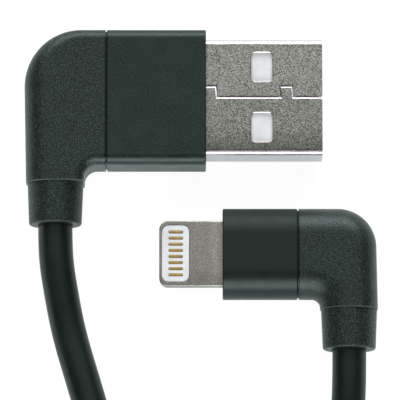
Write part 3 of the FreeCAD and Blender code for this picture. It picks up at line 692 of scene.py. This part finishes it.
class CABLE_OT_stage(Operator):
    """Add the camera, the pale floor and the soft lamps"""
    bl_idname = "cable.stage"
    bl_label = "Stage"

    def execute(self, context):
        stage = context.scene.cable_stage
        rest()
        towards = Vector((0.0, math.sin(stage.tilt), -math.cos(stage.tilt)))
        bpy.ops.object.camera_add(location=AIM - towards * stage.distance, rotation=(stage.tilt, 0.0, 0.0))
        camera = context.object
        camera.name = "camera"
        camera.data.sensor_fit = "HORIZONTAL"
        camera.data.angle = 2 * math.atan(HALF_PICTURE / CAMERA_AWAY)
        camera.data.clip_start, camera.data.clip_end = 0.01, 20.0
        context.scene.camera = camera
        context.scene.view_settings.view_transform = "Standard"

        rest()
        bpy.ops.mesh.primitive_plane_add(size=8.0, location=(0.0, 0.0, 0.0))
        floor = context.object
        floor.name = "floor"
        floor.data.materials.append(self.floor_finish())

        world = bpy.data.worlds.new("surround")
        world.use_nodes = True
        surround = world.node_tree.nodes["Background"].inputs
        surround["Color"].default_value = (1.0, 1.0, 1.0, 1.0)
        surround["Strength"].default_value = stage.world
        context.scene.world = world

        self.lamp("front_lamp", 180.0, 20.5, (2.6, 1.5), stage.front)
        self.lamp("back_lamp", 0.0, 28.0, (2.6, 1.3), stage.back)
        self.lamp("top_lamp", 0.0, 67.0, (3.0, 1.9), stage.top)
        return {"FINISHED"}

    def lamp(self, name, azimuth, elevation, size, power):
        """Soft lamp aimed at the plugs. Azimuth 0 is behind them and 180 in front."""
        rest()
        turn, rise = math.radians(azimuth), math.radians(elevation)
        away = Vector((math.sin(turn) * math.cos(rise), math.cos(turn) * math.cos(rise), math.sin(rise)))
        bpy.ops.object.light_add(type="AREA", location=away * LAMP_AWAY,
                                 rotation=away.to_track_quat("Z", "Y").to_euler())
        lamp = bpy.context.object
        lamp.name = name
        lamp.data.shape = "RECTANGLE"
        lamp.data.size, lamp.data.size_y = size
        lamp.data.energy = power
        lamp.visible_camera = False

    def floor_finish(self):
        """Pale floor that the camera and mirrors see as white, with a faint shadow."""
        finish = Finish("floor")
        seen, glossy, passing = [finish.node("ShaderNodeLightPath", {}, name)
                                 for name in ("Is Camera Ray", "Is Glossy Ray", "Is Transmission Ray")]
        pale, shadow = [finish.node("ShaderNodeBsdfDiffuse", {"Color": (grey, grey, grey, 1.0)})
                        for grey in (0.8, 0.17)]
        glows = [finish.node("ShaderNodeEmission", {"Color": tone, "Strength": strength})
                 for tone, strength in (((1.0, 1.0, 1.0, 1.0), 0.94), ((0.86, 0.97, 0.98, 1.0), 1.05))]
        white, mirror = [finish.node("ShaderNodeAddShader", {0: shadow, 1: glow}) for glow in glows]
        mirrored = glossy.math("MAXIMUM", passing) * 0.65
        unseen = finish.node("ShaderNodeMixShader", {0: mirrored, 1: pale, 2: mirror})
        both = finish.node("ShaderNodeMixShader", {0: seen, 1: unseen, 2: white})
        finish.node("ShaderNodeOutputMaterial", {"Surface": both})
        return finish.material


class CABLE_OT_cord(Operator):
    """Lay the cord from one plug through its coil to the other"""
    bl_idname = "cable.cord"
    bl_label = "Cord"

    def execute(self, context):
        cord = in_mm(context.scene.cable_cord)
        usb, phone = [self.route(plug, sizes, places, cord.diameter / 2)
                      for (_, plug, sizes), places in zip(both_plugs(), (USB_ROUTE, PHONE_ROUTE))]
        turn = Winding(cord)
        lead, tail = turn.heading(0.0), turn.heading(turn.span)
        coil_start = turn.point(0.0) - lead * cord.diameter
        coil_end = turn.point(turn.span) + tail * cord.diameter
        run_in, run_out = 4.6, 3.6      # straight before and after the coil
        count = round(turn.span * cord.points_per_turn)
        coil = [turn.point(turn.span * number / count) for number in range(count + 1)]
        points = [*usb, coil_start - lead * run_in, coil_start, *coil,
                  coil_end, coil_end + tail * run_out, *reversed(phone)]
        line = bpy.data.curves.new("cord", "CURVE")
        line.dimensions = "3D"
        spline = line.splines.new("NURBS")
        spline.points.add(len(points) - 1)
        for place, point in zip(spline.points, points):
            place.co = (*(point * MM), 1.0)
        spline.order_u = 3
        spline.use_endpoint_u = True
        spline.resolution_u = 8
        line.bevel_depth = cord.diameter / 2 * MM
        line.bevel_resolution = 5
        line.use_fill_caps = True
        piece = bpy.data.objects.new("cord", line)
        context.scene.collection.objects.link(piece)
        piece.data.materials.append(finish_for("cord_jacket"))
        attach(piece, BODY)
        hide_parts("cord_usb_end", "cord_coil", "cord_phone_end")
        return {"FINISHED"}

    def route(self, plug, sizes, places, low):
        """Points of the cord from the end of a collar onwards."""
        leave = Vector((plug.x, plug.y + arm_end(sizes) - sizes.collar, plug.z))
        return [leave] + [Vector((plug.x + u, leave.y - v, low + rise)) for u, v, rise in places]


class Winding:
    """Line of the coil: turns that wind inwards on the table, climb, and wind outwards on top."""

    def __init__(self, cord):
        self.radius, self.pitch = cord.coil_radius, cord.coil_pitch
        self.low = cord.tie_sheet + 0.1 + cord.diameter / 2
        self.entry, leave = 155.0, 30.0                       # degrees
        self.climb = 0.5                                      # turns
        self.middle = Vector((7.5, -62.0, 0.0))
        self.span = 7 + (leave - self.entry) % 360.0 / 360.0
        self.turns = (self.span - self.climb) / 2

    def state(self, turn):
        """Radius and height after so many turns."""
        inner = self.radius - self.turns * self.pitch
        if turn <= self.turns:
            return self.radius - turn * self.pitch, self.low
        if turn < self.turns + self.climb:
            share = (turn - self.turns) / self.climb
            dip = self.pitch * self.climb / math.pi * math.sin(math.pi * share)
            return inner - dip, self.low + self.pitch * (1 - math.cos(math.pi * share)) / 2
        return inner + (turn - self.turns - self.climb) * self.pitch, self.low + self.pitch

    def point(self, turn):
        radius, height = self.state(turn)
        angle = math.radians(self.entry) + 2 * math.pi * turn
        return self.middle + Vector((radius * math.cos(angle), radius * math.sin(angle), height))

    def heading(self, turn):
        return (self.point(turn + 0.0005) - self.point(turn - 0.0005)).normalized()


class CABLE_OT_elbows(Operator):
    """Model the two right-angle elbows"""
    bl_idname = "cable.elbows"
    bl_label = "Elbows"

    def execute(self, context):
        # Room for each inner mould: width, height and corner of its section, and where its arm ends above
        rooms = {"usb": ((12.06, 4.56, 0.63), 4.43), "phone": ((7.66, 4.36, 2.08), 3.33)}
        for name, plug, sizes in both_plugs():
            piece = self.shape(name + "_elbow_body", sizes)
            self.hollow(piece, arm_end(sizes), *rooms[name])
            dress(piece, plug, "elbow_plastic", name + "_elbow")
        return {"FINISHED"}

    def shape(self, name, sizes):
        """Half of the elbow is built from its outline upwards, then mirrored."""
        face, inner, past = 5.1, 2.95, sizes.leg_edge + OVER
        half, end, top = sizes.width / 2, arm_end(sizes), sizes.thickness / 2
        lean = (sizes.side_top - sizes.side_end) / (half - sizes.corner - end)
        left = -sizes.side_top - lean * sizes.corner
        mid_u, long = (left + face + past) / 2, face + past - left
        piece = rectangle(name, (mid_u, 0.0, 0.0), LEVEL, (long, sizes.width, 1.0))
        split_at(inner)
        pick("EDGE", lambda edge: lies_at(edge, 1, -half) and middle(edge).x < inner)
        extrude(v=end - past + half)
        select_all()
        bpy.ops.mesh.dissolve_limited(angle_limit=math.radians(0.2))
        pick("VERT", lambda vert: vert.co.x < 0 and vert.co.y < 0)
        bpy.ops.transform.translate(value=(-sizes.side_end + lean * past - left, 0.0, 0.0))
        pick("VERT", lambda vert: vert.co.x < 0 and vert.co.y > 0)
        round_corners(sizes.corner, 24)
        pick("VERT", lambda vert: close(vert.co.x, inner) and close(vert.co.y, -half))
        round_corners(sizes.inner_corner, 10)
        outline = [vert.co.copy() for vert in bmesh.from_edit_mesh(piece.data).verts]
        bpy.ops.mesh.select_mode(type="FACE")
        select_all()
        extrude(z=top - sizes.edge)
        turn_outwards()
        pick_at("FACE", 2, top - sizes.edge)
        rings = 8
        angles = [math.pi / 2 * number / rings for number in range(rings + 1)]
        for before, after in zip(angles, angles[1:]):
            bpy.ops.mesh.inset(thickness=sizes.edge * (math.cos(before) - math.cos(after)),
                               depth=sizes.edge * (math.sin(after) - math.sin(before)))
        self.widen(outline, sizes, left + sizes.corner, half - sizes.corner, top)
        cut_off((face, 0.0, 0.0), (1.0, 0.0, 0.0))
        cut_off((0.0, end, 0.0), (0.0, -1.0, 0.0))
        pick_at("FACE", 2, 0.0)
        bpy.ops.mesh.delete(type="FACE")
        apply_modifier(piece, "MIRROR", {"use_axis": (False, False, True), "merge_threshold": 0.0005})
        edit(piece)
        pick("EDGE", lambda edge: lies_at(edge, 1, end) and not close(middle(edge).z, 0.0, 0.0001))
        round_edges(0.09, 3)
        turn_outwards()
        return piece

    def widen(self, outline, sizes, corner_u, corner_v, top):
        """Makes the rounding larger along the outer side, column by column, about the sharp edge that it
        rounds, and little by little round the corner whose centre is given."""
        for place in outline:
            if place.x > corner_u - 0.001:
                continue
            share = math.atan2(corner_u - place.x, max(0.0, place.y - corner_v)) / (math.pi / 2)
            factor = 1 + share * (sizes.leg_edge / sizes.edge - 1)
            choose("VERT", lambda shape: self.column(shape, Vector((place.x, place.y, top - sizes.edge))))
            bpy.ops.transform.resize(value=(factor, factor, factor),
                                     center_override=Vector((place.x, place.y, top)))

    def column(self, shape, foot):
        """The vertex at the foot of the rounding and those above it, one on each ring."""
        verts = [min(shape.verts, key=lambda vert: (vert.co - foot).length)]
        while True:
            others = [edge.other_vert(verts[-1]) for edge in verts[-1].link_edges]
            above = max(others, key=lambda vert: vert.co.z)
            if above.co.z <= verts[-1].co.z + 0.0001:
                return verts
            verts.append(above)

    def hollow(self, piece, end, section, arm_top):
        """Cuts out the rooms for the inner mould, its arm, the ferrule, the spigot and the cord."""
        carve(piece, bar("room", 0.97, 6.1, *section))
        side, rise = 1.43, 1.38
        arm = block("room", -side, side, end + 2.7, arm_top, -rise, rise)
        pick("EDGE", lambda edge: lies_at(edge, 0, -side) and lies_at(edge, 1, arm_top))
        round_edges(1.93, 8)
        carve(piece, arm)
        # Ferrule, spigot and cord: where each room begins and ends from the leg's end, and its diameter
        for high, low, diameter in ((3.33, 1.42, 4.78), (1.25, -OVER, 4.8), (1.5, 1.2, 3.6)):
            carve(piece, pin("room", end + high, end + low, diameter))


class CABLE_OT_collars(Operator):
    """Model the two tapered strain reliefs"""
    bl_idname = "cable.collars"
    bl_label = "Collars"

    def execute(self, context):
        for name, plug, sizes in both_plugs():
            piece = self.shape(name + "_collar", arm_end(sizes), sizes.collar)
            dress(piece, plug, "relief_rubber", name + "_strain_relief")
        return {"FINISHED"}

    def shape(self, name, top, tall):
        wide, narrow, bore, spigot, edge = 2.85, 2.685, 1.8, 2.35, 0.22     # radii
        low = top - tall
        piece = start(name, bpy.ops.mesh.primitive_cone_add, vertices=96, radius1=narrow, radius2=wide,
                      depth=tall, location=(0.0, (top + low) / 2, 0.0), rotation=(-math.pi / 2, 0.0, 0.0))
        round_ends(1, (low,), edge, 4)
        pick_at("FACE", 1, low)
        bpy.ops.mesh.inset(thickness=narrow - edge - bore)
        bpy.ops.mesh.delete(type="ONLY_FACE")
        pick_at("FACE", 1, top)
        bpy.ops.mesh.inset(thickness=wide - spigot)
        extrude(v=1.2)
        bpy.ops.mesh.inset(thickness=spigot - bore)
        bpy.ops.mesh.delete(type="ONLY_FACE")
        pick("EDGE", lambda edge: len(edge.link_faces) == 1)
        bpy.ops.mesh.bridge_edge_loops()
        turn_outwards()
        return piece


class CABLE_OT_sleeves(Operator):
    """Model the two satin sleeves"""
    bl_idname = "cable.sleeves"
    bl_label = "Sleeves"

    def execute(self, context):
        usb, phone = in_mm(context.scene.cable_usb), in_mm(context.scene.cable_phone)
        front = REAR + usb.sleeve
        piece = self.shape("usb_sleeve_body", usb, front)
        carve(piece, bar("room", REAR - OVER, front + OVER, usb.shell_width + FIT, usb.shell_height + FIT,
                         0.65))
        dress(piece, USB, "sleeve_plastic", "usb_sleeve")

        walls, front_wall = 1.6, 0.9
        front = REAR + phone.sleeve
        piece = self.shape("phone_sleeve_body", phone, front)
        carve(piece, bar("room", REAR - OVER, front - front_wall, phone.width - walls,
                         phone.thickness - walls, 2.1))
        carve(piece, bar("room", front - 2.0, front + OVER, phone.tab_width + FIT, phone.tab_sheet + FIT,
                         0.17))
        dress(piece, PHONE, "sleeve_plastic", "phone_sleeve")
        return {"FINISHED"}

    def shape(self, name, sizes, front):
        """Sleeve with a lip at its rear, a little below its surface, that closes the gap to the elbow."""
        low = 0.19
        piece = bar(name, REAR, front, sizes.width, sizes.thickness, sizes.edge, 12)
        round_ends(0, (REAR, front), 0.15, 4)
        lip = bar("lip", REAR - 0.1, REAR + 0.15, sizes.width - 2 * low, sizes.thickness - 2 * low,
                  sizes.edge - low, 12)
        combine(piece, lip, "UNION")
        return piece


class CABLE_OT_shell(Operator):
    """Model the large plug's metal shell, with its windows and folded seam"""
    bl_idname = "cable.shell"
    bl_label = "Shell"

    def execute(self, context):
        usb = in_mm(context.scene.cable_usb)
        held, corner, seam_half, sheet = 7.2, 0.6, 0.05, usb.shell_sheet
        front = REAR + usb.sleeve
        rear, tip, top = front - held, front + usb.reach, usb.shell_height / 2
        window_u, window_v, long, wide = tip - 6.17, 3.125, 2.1, 2.95
        piece = bar("usb_shell_body", rear, tip, usb.shell_width, usb.shell_height, corner)
        split_at(window_u)
        carve(piece, bar("room", rear - OVER, tip + OVER, usb.shell_width - 2 * sheet,
                         usb.shell_height - 2 * sheet, corner - sheet))
        for side in (-1, 1):
            carve(piece, plate("window", window_u, side * window_v, long, wide, 0.42, -4.0, 4.0))
        runs = self.seam(rear, front, tip)
        carve(piece, self.groove(runs, 2 * seam_half, top))
        edit(piece)
        pick("EDGE", lambda edge: on_rim(edge, window_u, window_v, long, wide, top))
        round_edges(0.15, 5)
        pick("EDGE", lambda edge: self.is_lower_lip(edge, runs, seam_half, top))
        round_edges(0.26, 6)
        dress(piece, USB, "shell_nickel", "usb_shell")
        return {"FINISHED"}

    def seam(self, rear, front, tip):
        """Runs of the seam, which has two tabs."""
        low, high, slant = 0.08, 1.21, 0.1
        root, right = front + 1.15, tip - 2.95
        left = right - 1.5
        route = [Vector(place).to_3d() for place in (
            (rear - OVER, high), (root, high), (root + slant, low), (left + slant, low), (left, high),
            (right, high), (right + slant, low), (tip + OVER, low))]
        return list(zip(route, route[1:]))

    def groove(self, runs, wide, top):
        """Thin upright wall along the runs, for cutting the groove between the two edges of the sheet."""
        (first, last), others = runs[0], runs[1:]
        centre = Vector(((first.x + last.x) / 2, first.y, top))
        piece = rectangle("groove", centre, (math.pi / 2, 0.0, 0.0), (last.x - first.x, 1.0, 1.2))
        pick_at("EDGE", 0, last.x)
        for before, after in others:
            extrude(u=after.x - before.x, v=after.y - before.y)
        apply_modifier(piece, "SOLIDIFY", {"thickness": wide, "offset": 0.0, "use_even_offset": True})
        edit(piece)
        turn_outwards()
        return piece

    def is_lower_lip(self, edge, runs, half, top):
        """True on the groove's edges that belong to the sheet on its low side."""
        def beside(first, last):
            along = (last - first).normalized()
            aside = Vector((along.y, -along.x, 0.0))
            places = [vert.co - first for vert in edge.verts]
            return all(close(place.dot(aside), half) and -0.2 < place.dot(along) < (last - first).length + 0.2
                       for place in places)
        return lies_at(edge, 2, top) and any(beside(first, last) for first, last in runs)


class CABLE_OT_tab(Operator):
    """Model the small plug's steel tab"""
    bl_idname = "cable.tab"
    bl_label = "Tab"

    def execute(self, context):
        phone = in_mm(context.scene.cable_phone)
        front = REAR + phone.sleeve
        tip, rear, half = front + phone.reach, front - 0.95, phone.tab_sheet / 2
        window_u, long, wide = tip - INSERT_BACK, 2.8, 5.86
        piece = plate("phone_tab_body", rear, 0.0, 2 * (tip - rear), phone.tab_width, 0.88, -half, half, 12)
        round_ends(2, (half, -half), 0.12, 4)
        cut_off((rear - 0.5, 0.0, 0.0), (-1.0, 0.0, 0.0))
        combine(piece, bar("flange", rear - 1.2, rear, phone.width - 1.9, 2.6, 0.4, 4), "UNION")
        carve(piece, plate("window", window_u, 0.0, long, wide, 0.68, -2.0, 2.0, 10))
        carve(piece, block("room", rear - 2.0, window_u, -2.6, 2.6, -0.325, 0.325))
        edit(piece)
        pick("EDGE", lambda edge: on_rim(edge, window_u, 0.0, long, wide, half))
        round_edges(0.05, 2)
        dress(piece, PHONE, "tab_steel", "phone_tab")
        return {"FINISHED"}


class CABLE_OT_contacts(Operator):
    """Model the small plug's insulator and its two rows of flat contacts"""
    bl_idname = "cable.contacts"
    bl_label = "Contacts"

    def execute(self, context):
        phone = in_mm(context.scene.cable_phone)
        tip = REAR + phone.sleeve + phone.reach
        face = phone.tab_sheet / 2 - 0.05
        long, wide, deep, room = 1.47, 0.29, 0.2, 0.04
        mid_u = tip - 0.95 - long / 2
        places = [(number - 3.5) * phone.pad_pitch for number in range(8)]
        insulator = plate("phone_insulator", tip - INSERT_BACK, 0.0, 2.74, 5.8, 0.65, -face, face, 10)
        round_ends(2, (face, -face), 0.04, 2)
        for low in (face - 0.22, -face - 1.0):
            carve(insulator, self.row("pockets", mid_u, places, wide + room, long + room, low, low + 1.22))
        carve(insulator, block("room", tip - 4.0, tip - 2.22, -2.6, 2.6, -0.295, 0.295))
        dress(insulator, PHONE, "white_plastic", "phone_contact_block")
        for name, low in (("lower", face - deep), ("upper", -face)):
            pads = self.row("phone_pads_" + name, mid_u, places, wide, long, low, low + deep, 0.05)
            dress(pads, PHONE, "contact_gilt", "phone_contacts_" + name)
        return {"FINISHED"}

    def row(self, name, mid_u, places, wide, long, low, high, edge=0.0):
        """One contact with round ends, and its copies side by side, as one piece."""
        first = plate(name, mid_u, places[0], long, wide, wide / 2 - 0.005, low, high, 6)
        if edge:
            round_ends(2, (low, high), edge, 3)
        apply_modifier(first, "ARRAY", {"count": len(places), "use_relative_offset": False,
                                        "use_constant_offset": True,
                                        "constant_offset_displace": (0.0, places[1] - places[0], 0.0)})
        return first


class CABLE_OT_tie(Operator):
    """Model the fabric strap that holds the coil"""
    bl_idname = "cable.tie"
    bl_label = "Tie"

    def execute(self, context):
        low, high = (Vector(corner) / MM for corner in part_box("cord_tie"))
        sheet, flap_sheet = in_mm(context.scene.cable_cord).tie_sheet, 0.45
        centre, size = (low + high) / 2, high - low
        piece = bar("coil_tie", low.x, high.x, size.y, size.z, 1.5, 8, centre.y, centre.z)
        carve(piece, bar("room", low.x - OVER, high.x + OVER, size.y - 2 * sheet, size.z - 2 * sheet, 1.0, 8,
                         centre.y, centre.z))
        edit(piece)
        round_ends(0, (low.x, high.x), 0.12, 2)
        top = high.z + flap_sheet
        flap = plate("flap", centre.x, centre.y + 1.5, size.x, 9.0, 0.9, high.z, top)
        round_ends(2, (top,), 0.15, 2)
        make_active(piece)
        flap.select_set(True)
        bpy.ops.object.join()
        dress(piece, UNMOVED, "tie_fabric", "cord_tie")
        return {"FINISHED"}


class CABLE_OT_inner_parts(Operator):
    """Give every part that is shown as it was drawn its own finish"""
    bl_idname = "cable.inner_parts"
    bl_label = "Inner parts"

    def execute(self, context):
        for row in frame["record"]["subparts"]:
            node = frame["nodes"][row["node"]]
            node.data.materials.clear()
            node.data.materials.append(finish_for(row["material_slot"]))
        return {"FINISHED"}


class CABLE_PT_panel(Panel):
    """Sidebar panel with the steps in their order"""
    bl_idname = "CABLE_PT_panel"
    bl_label = "Charging Cable"
    bl_space_type = "VIEW_3D"
    bl_region_type = "UI"
    bl_category = "Cable"

    def draw(self, context):
        for step in STEPS:
            self.layout.operator(step.bl_idname)
        for group in GROUPS:
            settings = getattr(context.scene, group)
            box = self.layout.box()
            for name in fields(settings):
                box.prop(settings, name)


GROUPS = {
    "cable_cord": CableCordSizes,
    "cable_usb": CableUsbSizes,
    "cable_phone": CablePhoneSizes,
    "cable_finishes": CableFinishes,
    "cable_stage": CableStage,
}
STEPS = (CABLE_OT_stage, CABLE_OT_cord, CABLE_OT_tie, CABLE_OT_elbows, CABLE_OT_collars, CABLE_OT_sleeves,
         CABLE_OT_shell, CABLE_OT_tab, CABLE_OT_contacts, CABLE_OT_inner_parts)
CLASSES = (*GROUPS.values(), *STEPS, CABLE_PT_panel)


def register():
    for kind in CLASSES:
        bpy.utils.register_class(kind)
    for name, kind in GROUPS.items():
        setattr(bpy.types.Scene, name, PointerProperty(type=kind))


def unregister():
    for name in GROUPS:
        delattr(bpy.types.Scene, name)
    for kind in reversed(CLASSES):
        bpy.utils.unregister_class(kind)


def main():
    register()
    for step in STEPS:
        getattr(bpy.ops.cable, step.bl_idname.removeprefix("cable."))()


if __name__ == "__main__":
    main()
